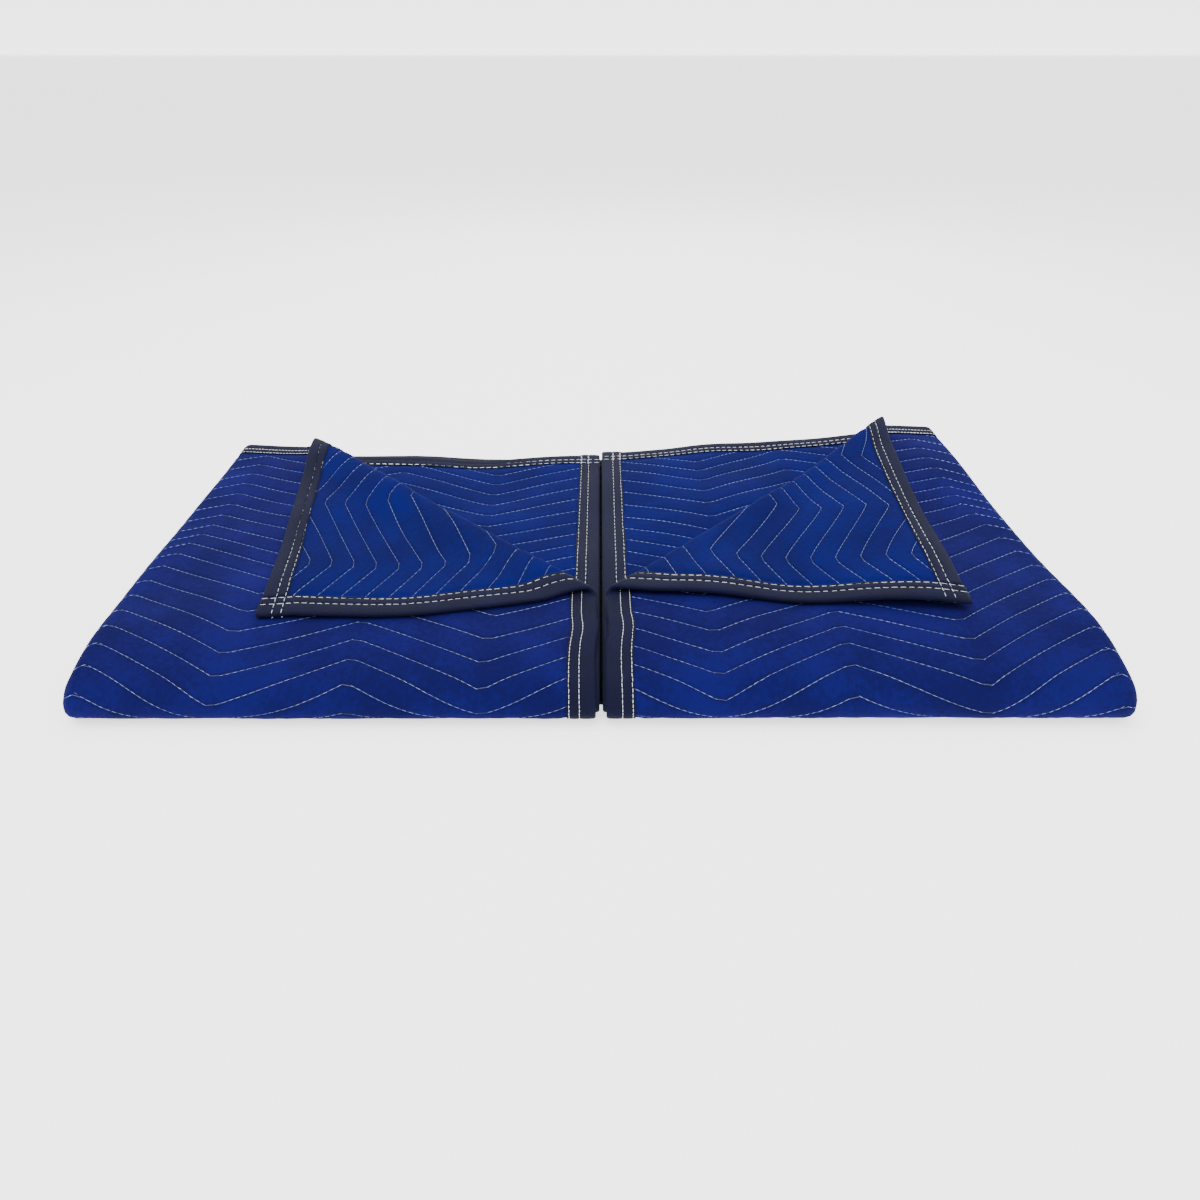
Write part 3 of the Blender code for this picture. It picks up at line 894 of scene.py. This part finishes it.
@dataclass
class Needle:
    """Sews stitches: lists their places, and makes them a joined mesh of small grains.

    A list of stitches has four rows: the u and v of each stitch's middle, its direction as an angle from
    u, and the height of the cloth's surface there, with the sign of its face.

    A grain has a tip at each end and two rings of three points, two beside the thread and one on top.
    ALONG, ASIDE and ABOVE place its points, in half lengths, half widths and heights; FACES joins them.

    Attributes:
        clear: Distance from the bindings that the zigzag rows keep.
        sunk: How far the bindings' stitches stand above the bottom of their trough.
        behind: Where a lower binding looks out behind the left inner flap, from the middle.
        spread: Spread of the stitches' sizes, directions and places.
        highest: Height over which no stitch stands, in layers, so that it folds with its own layer.
    """

    ALONG = np.array((-1.0, -0.6, -0.6, -0.6, 0.6, 0.6, 0.6, 1.0))
    ASIDE = np.array((0.0, -1.0, 1.0, 0.0, -1.0, 1.0, 0.0, 0.0))
    ABOVE = np.array((-0.7, -0.6, -0.6, 1.0, -0.6, -0.6, 1.0, -0.7))
    FACES = np.array(((0, 1, 3), (0, 3, 2), (0, 2, 1), (7, 6, 4), (7, 5, 6), (7, 4, 5),
                      (1, 4, 6), (1, 6, 3), (3, 6, 5), (3, 5, 2), (2, 5, 4), (2, 4, 1)))

    folding: Folding
    panel: Panel
    binding: Binding
    quilt_thread: Thread = Thread(0.0062, 0.0050, 0.00056, 0.00022)
    outer_row_thread: Thread = Thread(0.0042, 0.0043, 0.00080, 0.00030)
    inner_row_thread: Thread = Thread(0.0080, 0.0070, 0.00066, 0.00028)
    clear: float = 0.0015
    sunk: float = 0.0001
    behind: Span = (-0.40, -0.03)
    spread: tuple[float, float, float] = (0.06, 0.045, 0.00008)
    highest: float = 0.49
    chance: np.random.Generator = field(default_factory=lambda: np.random.default_rng(11))

    def quilted(self, face: Face) -> Array:
        """List the stitches of the zigzag rows on one face, where it shows.

        A stitch lies every pitch of thread along a row; a row's place along the cloth is its number times
        the row pitch, plus the zigzag there.
        """
        quilting, cloth, folding = self.panel.quilting, self.folding.cloth, self.folding
        lean = math.cos(math.atan(quilting.swing / quilting.reach))
        across = np.arange(folding.side_start - 0.01, cloth.half_width - cloth.binding_width,
                           self.quilt_thread.pitch * lean)
        numbers = quilting.numbers(cloth.length)
        across, number, side = np.meshgrid(across, numbers, (-1.0, 1.0), indexing="ij")
        across = across + self.chance.uniform(0.0, self.quilt_thread.pitch, number.shape[1:])
        u = (side * across).ravel()
        base = (quilting.row_offset + quilting.row_pitch * number).ravel()
        v = base + quilting.zigzag(u, base)
        turn = np.arctan(quilting.slope(u, base))
        level = face.value * self.panel.half_thickness(u, v)
        inside = np.minimum(cloth.half_width - np.abs(u), np.minimum(v, cloth.length - v))
        front = folding.pack_end + folding.front_margin
        shows = (folding.exposed_outer(u, v) & (v < front) if face is Face.OUTER
                 else folding.exposed_inner(u, v))
        return np.stack((u, v, turn, level))[:, shows & (inside > cloth.binding_width + self.clear)]

    def bound(self, face: Face, thread: Thread) -> Array:
        """List the stitches of the rows on the bindings on one face, where it shows.

        Where a row runs on over the other binding at a corner, its stitches lie higher. The outer face
        also shows at the back, where the lower layer's binding looks out behind the left inner flap.
        """
        cloth, found = self.folding.cloth, []
        for edge in Edge:
            low, high = (0.0, cloth.length) if edge.is_side else (-cloth.half_width, cloth.half_width)
            for row in self.binding.rows:
                run = np.arange(low + 0.5 * thread.pitch, high - 0.4 * thread.pitch, thread.pitch)
                u, v, _ = edge.in_cloth(np.full(run.shape, cloth.binding_width - row), run, 0.0 * run, cloth)
                turn = np.full(run.shape, 0.5 * math.pi if edge.is_side else 0.0)
                to_end = np.minimum(v, cloth.length - v) if edge.is_side else cloth.half_width - np.abs(u)
                crosses = to_end < cloth.binding_width
                level = np.where(crosses, self.binding.crown, self.sunk - self.binding.trough)
                if face is Face.OUTER:
                    flaps = np.abs(u) > self.folding.side_start - self.folding.front_margin
                    behind = (u > self.behind[0]) & (u < self.behind[1])
                    shows = flaps & (v < 0.5 * cloth.length)
                    shows |= behind & (v > cloth.length - cloth.binding_width)
                else:
                    shows = self.folding.exposed_inner(u, v)
                found.append(np.stack((u, v, turn, face.value * (cloth.half + level)))[:, shows])
        return np.concatenate(found, axis=1)

    def sew(self, name: str, stitches: Array, thread: Thread,
            finish: bpy.types.Material) -> bpy.types.Object:
        """Make a piece of all the stitches in a list.

        Each point of a grain is placed along and across its stitch and above the cloth, and then folded.
        """
        middle_u, middle_v, turn, level = stitches[:, :, None]
        count = stitches.shape[1]
        size_spread, turn_spread, side_spread = self.spread
        scale = 1.0 + self.chance.normal(0.0, size_spread, (3, count, 1))
        turn = turn + self.chance.normal(0.0, turn_spread, (count, 1))
        forward = 0.5 * thread.length * self.ALONG * scale[0]
        sideways = 0.5 * thread.width * self.ASIDE * scale[1]
        sideways = sideways + self.chance.normal(0.0, side_spread, (count, 1))
        up = np.where(self.ABOVE > 0.0, thread.height, thread.bed) * self.ABOVE * scale[2]
        u = middle_u + forward * np.cos(turn) - sideways * np.sin(turn)
        v = middle_v + forward * np.sin(turn) + sideways * np.cos(turn)
        highest = self.highest * self.folding.cloth.pitch
        n = np.clip(level + np.sign(level) * up, -highest, highest)
        mesh = bpy.data.meshes.new(name)
        number = np.arange(count)[:, None]
        faces = (self.FACES + 8 * number[:, :, None]).reshape(-1, 3)
        mesh.from_pydata(self.folding.fold(u.ravel(), v.ravel(), n.ravel()), [], faces)
        mesh.materials.append(finish)
        if signed_volume(mesh) < 0.0:
            mesh.flip_normals()
        cells = math.ceil(math.sqrt(count))
        across = (number % cells + 0.5 + 0.42 * self.ALONG) / cells
        down = (number // cells + 0.5 + 0.42 * self.ASIDE) / cells
        loops = read(mesh.loops, "vertex_index", np.int32)
        lay_on_map(mesh, np.stack((across.ravel(), down.ravel()), axis=-1)[loops])
        mesh.shade_smooth()
        return place(name, mesh)


def math_node(operation: str) -> Callable[..., "Wire"]:
    """A method of Wire that adds a Math node for the operation on the wire and the other values."""
    def work(*values: "Wire | float") -> "Wire":
        return values[0].calculate(operation, *values)
    return work


class Wire:
    """A shader socket's value that Python's operators work on; each adds a Math node."""

    __add__ = math_node("ADD")
    __sub__ = math_node("SUBTRACT")
    __mul__ = math_node("MULTIPLY")
    __truediv__ = math_node("DIVIDE")
    __abs__ = math_node("ABSOLUTE")
    least = math_node("MINIMUM")
    nearest_whole = math_node("ROUND")
    sine = math_node("SINE")

    def __init__(self, finish: "Finish", socket: bpy.types.NodeSocket) -> None:
        """Keep the socket and the finish whose nodes it belongs to."""
        self.finish = finish
        self.socket = socket

    def calculate(self, operation: str, *values: "Wire | float") -> "Wire":
        """Add a Math node for the given operation on the values."""
        return self.finish.wire("ShaderNodeMath", {"operation": operation}, dict(enumerate(values)))

    def __rsub__(self, other: float) -> "Wire":
        """Difference from a number."""
        return self.calculate("SUBTRACT", other, self)

    def off_whole(self) -> "Wire":
        """Distance to the nearest whole number."""
        return abs(self - self.nearest_whole())

    def rise(self, low: float, high: float) -> "Wire":
        """Smooth rise from 0 at low to 1 at high; a fall where low is the larger one."""
        ends = (0.0, 1.0) if low < high else (1.0, 0.0)
        values = {"Value": self, "From Min": min(low, high), "From Max": max(low, high),
                  "To Min": ends[0], "To Max": ends[1]}
        return self.finish.wire("ShaderNodeMapRange", {"interpolation_type": "SMOOTHSTEP"}, values, "Result")


class Finish:
    """A material under construction."""

    def __init__(self, name: str) -> None:
        """Start from an empty material with a Principled shader."""
        self.material = bpy.data.materials.new(name)
        self.material.use_nodes = True
        self.nodes = self.material.node_tree.nodes
        self.surface = self.nodes["Principled BSDF"]

    def node(self, kind: str, settings: dict[str, Any], inputs: dict[Any, Any]) -> bpy.types.Node:
        """Add a node with its own settings, then its sockets' values or links, by name or number."""
        made = self.nodes.new(kind)
        for name, value in settings.items():
            setattr(made, name, value)
        for name, value in inputs.items():
            self.feed(made, name, value)
        return made

    def feed(self, node: bpy.types.Node, name: str | int, value: Any) -> None:
        """Set a socket, or link a wire to it."""
        if isinstance(value, Wire):
            self.material.node_tree.links.new(value.socket, node.inputs[name])
        else:
            node.inputs[name].default_value = value

    def wire(self, kind: str, settings: dict[str, Any], inputs: dict[Any, Any],
             output: str | int = 0) -> Wire:
        """Add a node and take one of its outputs."""
        return Wire(self, self.node(kind, settings, inputs).outputs[output])

    def mix(self, share: Wire, first: Any, second: Any) -> Wire:
        """Blend two colours by a share."""
        inputs = {"Factor": share, 6: first, 7: second}
        return self.wire("ShaderNodeMix", {"data_type": "RGBA"}, inputs, 2)

    def noise(self, place_at: Wire, scale: float, detail: float = 2.0, roughness: float = 0.5) -> Wire:
        """Noise from 0 to 1 at the given places."""
        inputs = {"Vector": place_at, "Scale": scale, "Detail": detail, "Roughness": roughness}
        return self.wire("ShaderNodeTexNoise", {}, inputs, "Fac")

    def pattern(self) -> tuple[Wire, tuple[Wire, Wire, Wire]]:
        """The surface's pattern place, as a vector and as its three parts."""
        vector = self.wire("ShaderNodeAttribute", {"attribute_name": Tailor.PLACE}, {}, "Vector")
        parts = self.node("ShaderNodeSeparateXYZ", {}, {"Vector": vector})
        return vector, tuple(Wire(self, part) for part in parts.outputs)

    def stretched(self, vector: Wire, factors: tuple[float, float, float]) -> Wire:
        """A place with each of its parts scaled."""
        return self.wire("ShaderNodeVectorMath", {"operation": "MULTIPLY"}, {0: vector, 1: factors})

    def raise_surface(self, height: Wire, distance: float, strength: float = 1.0) -> None:
        """Raise the surface in the shading: a height of 1 is the given distance."""
        inputs = {"Height": height, "Distance": distance, "Strength": strength}
        self.feed(self.surface, "Normal", self.wire("ShaderNodeBump", {}, inputs))

    def cover(self, values: dict[str, Any]) -> None:
        """Set the shader's sockets, or link wires to them."""
        for name, value in values.items():
            self.feed(self.surface, name, value)


def colour(red: float, green: float, blue: float) -> Colour:
    """A colour given as on a screen, from 0 to 255, in the linear numbers that shaders use."""
    linear = [((value / 255.0 + 0.055) / 1.055) ** 2.4 if value > 10.3 else value / 255.0 / 12.92
              for value in (red, green, blue)]
    return (*linear, 1.0)


@dataclass(frozen=True)
class QuiltCloth:
    """Finish of one side of the quilted cloth: brushed, with painted shade along its stitch rows.

    Attributes:
        deep: Dark colour of the weave, and of the painted shade in the rows' grooves.
        middle: Colour of most of it.
        worn: Colour where the nap is rubbed.
        halfway: Place of the half fold; past it the middle strip gets a near-black painted shade, for the
            gap between the closed sides.
        rub: How much of the worn colour shows.
    """

    name: str
    deep: Colour
    middle: Colour
    worn: Colour
    quilting: Quilting
    thread: Thread
    halfway: float
    rub: float = 0.5
    thread_colour: Colour = (0.36, 0.42, 0.60, 1.0)

    def make(self) -> bpy.types.Material:
        """Build the material: weave, nap, rubbed patches, puckers and thread at each row, painted shade
        along each row's groove, and painted shade on the middle strip past the half fold.

        The third part of the pattern place is the distance past the first row.
        """
        quilting, finish = self.quilting, Finish(self.name)
        vector, (u, v, past) = finish.pattern()
        where = finish.stretched(vector, (1.0, 1.0, 0.0))
        away = (past / quilting.row_pitch).off_whole() * quilting.row_pitch
        # Mask of each row's groove; it only darkens the colour, as painted shade.
        groove = away.rise(0.0038, 0.0)
        thread = away.rise(0.5 * self.thread.width + 0.0002, 0.5 * self.thread.width - 0.0001)
        # Painted shade: a near-black strip in the middle past the half fold, where the closed sides meet.
        shade = abs(u).rise(0.016, 0.010) * v.rise(self.halfway, self.halfway + 0.02)
        weave = finish.noise(finish.stretched(where, (1.0, 1.6, 1.0)), 900.0, 1.0)
        nap = finish.noise(where, 210.0, 3.0, 0.62)
        patches = finish.noise(where, 14.0, 5.0, 0.62)
        puckers = finish.noise(finish.stretched(where, (1.0, 0.28, 1.0)), 125.0, 2.0)
        puckers = puckers * away.rise(0.010, 0.001)
        rubbed = (nap * 0.40 + patches * 0.60).rise(0.40, 0.62)
        base = finish.mix(rubbed * self.rub, self.middle, self.worn)
        base = finish.mix(weave.rise(0.40, 0.62) * 0.20, base, self.deep)
        # Painted shade: the cloth darkens towards deep along each row's groove.
        base = finish.mix(groove * 0.45, base, self.deep)
        base = finish.mix(thread * 0.16, base, self.thread_colour)
        # Painted shade: the middle strip is mixed to near-black.
        base = finish.mix(shade, base, colour(1, 1, 4))
        finish.cover({"Base Color": base, "Roughness": nap * 0.12 + 0.84, "Sheen Weight": 0.03,
                      "Sheen Roughness": 0.45, "Sheen Tint": (0.30, 0.40, 1.0, 1.0),
                      "Specular IOR Level": 0.08})
        finish.raise_surface(weave * 0.18 + nap * 0.50 + puckers * 0.9 + thread * 0.4, 0.0011)
        return finish.material


@dataclass(frozen=True)
class Webbing:
    """Finish of the webbing: a fine twill, with painted shade along the pressed troughs of its stitched
    rows.
    """

    binding: Binding
    twill: float = 0.0016

    def make(self) -> bpy.types.Material:
        """Build the material: ribs from a sine of girth plus run, and painted shade along the trough at each
        stitched row.
        """
        finish = Finish("binding_webbing_cloth")
        where, (girth, run, _) = finish.pattern()
        fold = self.binding.girth
        inwards = girth.least(fold - girth)
        away = abs(inwards - self.binding.rows[0]).least(abs(inwards - self.binding.rows[1]))
        ribs = ((girth * 0.8 + run) * (2.0 * math.pi / self.twill)).sine() * 0.5 + 0.5
        nap = finish.noise(where, 420.0, 2.0, 0.6)
        patches = finish.noise(where, 24.0, 2.0)
        base = finish.mix(ribs * 0.35 + nap * 0.3, colour(4, 6, 30), colour(8, 11, 42))
        base = finish.mix(patches.rise(0.40, 0.70) * 0.35, base, colour(11, 15, 50))
        # Painted shade: near-black along each stitched row's trough.
        base = finish.mix(away.rise(0.0016, 0.0004) * 0.6, base, colour(1, 2, 14))
        finish.cover({"Base Color": base, "Roughness": nap * 0.15 + 0.68, "Sheen Weight": 0.03,
                      "Sheen Roughness": 0.4, "Specular IOR Level": 0.12})
        finish.raise_surface(ribs * 0.16 + nap * 0.25, 0.0008)
        return finish.material


@dataclass(frozen=True)
class ThreadFinish:
    """Finish of a light thread: plied, a little soiled."""

    name: str
    clean: Colour
    soiled: Colour

    def make(self) -> bpy.types.Material:
        """Build the material: noise on Object coordinates for the ply and for soiling."""
        finish = Finish(self.name)
        where = finish.wire("ShaderNodeTexCoord", {}, {}, "Object")
        ply = finish.noise(where, 1500.0, 1.0)
        soiled = finish.noise(where, 30.0, 2.0)
        base = finish.mix(soiled.rise(0.35, 0.65), self.clean, self.soiled)
        base = finish.mix(ply.rise(0.45, 0.60) * 0.25, base, self.soiled)
        finish.cover({"Base Color": base, "Roughness": ply * 0.2 + 0.50, "Specular IOR Level": 0.35})
        return finish.material


@dataclass(frozen=True)
class Studio:
    """A pale floor, soft lights and the camera.

    Attributes:
        stand: Place of the camera.
        tilt: How far it looks down, in degrees.
        lens: Its focal length in millimetres.
        reach: How far the floor goes each way; it turns up behind the pack, as high as upturn.
        lights: Name, place, size and power of each light.
    """

    stand: tuple[float, float, float] = (0.006, -0.768, 0.487)
    tilt: float = 34.2
    lens: float = 24.51
    reach: float = 60.0
    upturn: float = 9.0
    lights: tuple[tuple[str, tuple[float, float, float], float, float], ...] = (
        ("key_light", (-0.5, -0.3, 2.4), 2.2, 78.0),
        ("fill_light", (1.6, -1.2, 1.5), 1.8, 26.0),
        ("back_light", (0.2, 1.6, 1.6), 1.8, 28.0),
    )

    def camera(self) -> None:
        """Stand the camera in front of the pack, looking down on it and as far as the floor reaches."""
        data = bpy.data.cameras.new("camera")
        data.lens, data.sensor_width = self.lens, 36.0
        data.clip_start, data.clip_end = 0.01, 100.0
        camera = place("camera", data)
        camera.location = self.stand
        camera.rotation_euler = (math.radians(90.0 - self.tilt), 0.0, 0.0)
        bpy.context.scene.camera = camera

    def light(self, name: str, at: tuple[float, float, float], size: float, power: float) -> None:
        """Hang a square soft light that faces the middle of the pack."""
        data = bpy.data.lights.new(name, "AREA")
        data.shape, data.size, data.energy = "SQUARE", size, power
        lamp = place(name, data)
        lamp.location = at
        lamp.rotation_euler = (-Vector(at)).to_track_quat("-Z", "Y").to_euler()

    def floor(self) -> None:
        """A wide plain floor under the pack, turned up far behind it."""
        mesh, reach = bpy.data.meshes.new("floor"), self.reach
        lines = ((-reach, 0.0), (reach, 0.0), (reach, self.upturn))
        places = [(x, y, z) for y, z in lines for x in (-reach, reach)]
        mesh.from_pydata(places, [], [(0, 1, 3, 2), (2, 3, 5, 4)])
        finish = Finish("pale_floor")
        finish.cover({"Base Color": (0.93, 0.93, 0.93, 1.0), "Roughness": 0.9, "Specular IOR Level": 0.1,
                      "Emission Color": (1.0, 1.0, 1.0, 1.0), "Emission Strength": 1.6})
        mesh.materials.append(finish.material)
        place("floor", mesh)

    def build(self) -> None:
        """Set up everything round the pack."""
        self.camera()
        self.floor()
        for light in self.lights:
            self.light(*light)
        world = bpy.data.worlds.new("soft_light")
        world.use_nodes = True
        background = world.node_tree.nodes["Background"]
        background.inputs["Color"].default_value = (1.0, 1.0, 1.0, 1.0)
        background.inputs["Strength"].default_value = 1.0
        bpy.context.scene.world = world


class Blanket:
    """The whole folded blanket, with all its pieces."""

    def __init__(self) -> None:
        """Settle the folds, the quilting, the bindings and the threads."""
        self.folding = Folding()
        self.panel = Panel(self.folding)
        self.binding = Binding(self.folding)
        self.needle = Needle(self.folding, self.panel, self.binding)
        self.tailor = Tailor(self.folding)

    def build(self) -> None:
        """Make every piece, let it stand for its node and report it."""
        cloth, needle = self.folding.cloth, self.needle
        rows = (self.panel.quilting, needle.quilt_thread, 0.5 * cloth.length)
        outer, inner = (QuiltCloth(name, *(colour(*shade) for shade in shades), *rows).make()
                        for name, shades in (
                            ("outer_quilt_cloth", ((3, 3, 34), (9, 7, 66), (21, 16, 99))),
                            ("inner_quilt_cloth", ((1, 3, 38), (2, 5, 68), (5, 11, 98)))))
        webbing = Webbing(self.binding).make()
        white = ThreadFinish("white_thread", colour(252, 254, 255), colour(220, 230, 250)).make()
        pale = ThreadFinish("pale_thread", colour(140, 168, 255), colour(92, 122, 250)).make()
        panel = self.tailor.make("quilted_panel_cloth", self.panel.slab(), (outer, inner, outer))
        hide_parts("quilted_panel")
        extras = []
        for edge in Edge:
            slab = self.binding.slab(edge.stations(self.folding, self.binding.gap), edge)
            piece = self.tailor.make(edge.value + "_webbing", slab, (webbing, webbing, webbing))
            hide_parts(edge.value)
            extras.append(piece)
        quilt, outer_row, inner_row = needle.quilt_thread, needle.outer_row_thread, needle.inner_row_thread
        for name, stitches, thread, finish, slot in (
                ("quilting_stitches_outer", needle.quilted(Face.OUTER), quilt, pale, "quilted_cloth"),
                ("quilting_stitches_inner", needle.quilted(Face.INNER), quilt, pale, "quilted_cloth"),
                ("binding_stitches_outer", needle.bound(Face.OUTER, outer_row), outer_row, white,
                 "binding_webbing"),
                ("binding_stitches_inner", needle.bound(Face.INNER, inner_row), inner_row, white,
                 "binding_webbing")):
            piece = needle.sew(name, stitches, thread, finish)
            extras.append(piece)
        for piece in (panel, *extras):
            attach(piece, "root")
            LOG.info("%s: %d faces", piece.name, len(piece.data.polygons))


def corners(box: tuple[Vector, Vector]) -> list[list[float]]:
    """The two corners of a box as plain numbers."""
    return [[round(float(value), 5) for value in corner] for corner in box]


def main() -> None:
    """Load the frame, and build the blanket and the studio."""
    logging.basicConfig(level=logging.INFO, format="%(name)s %(message)s")
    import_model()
    Blanket().build()
    Studio().build()


if __name__ == "__main__":
    main()
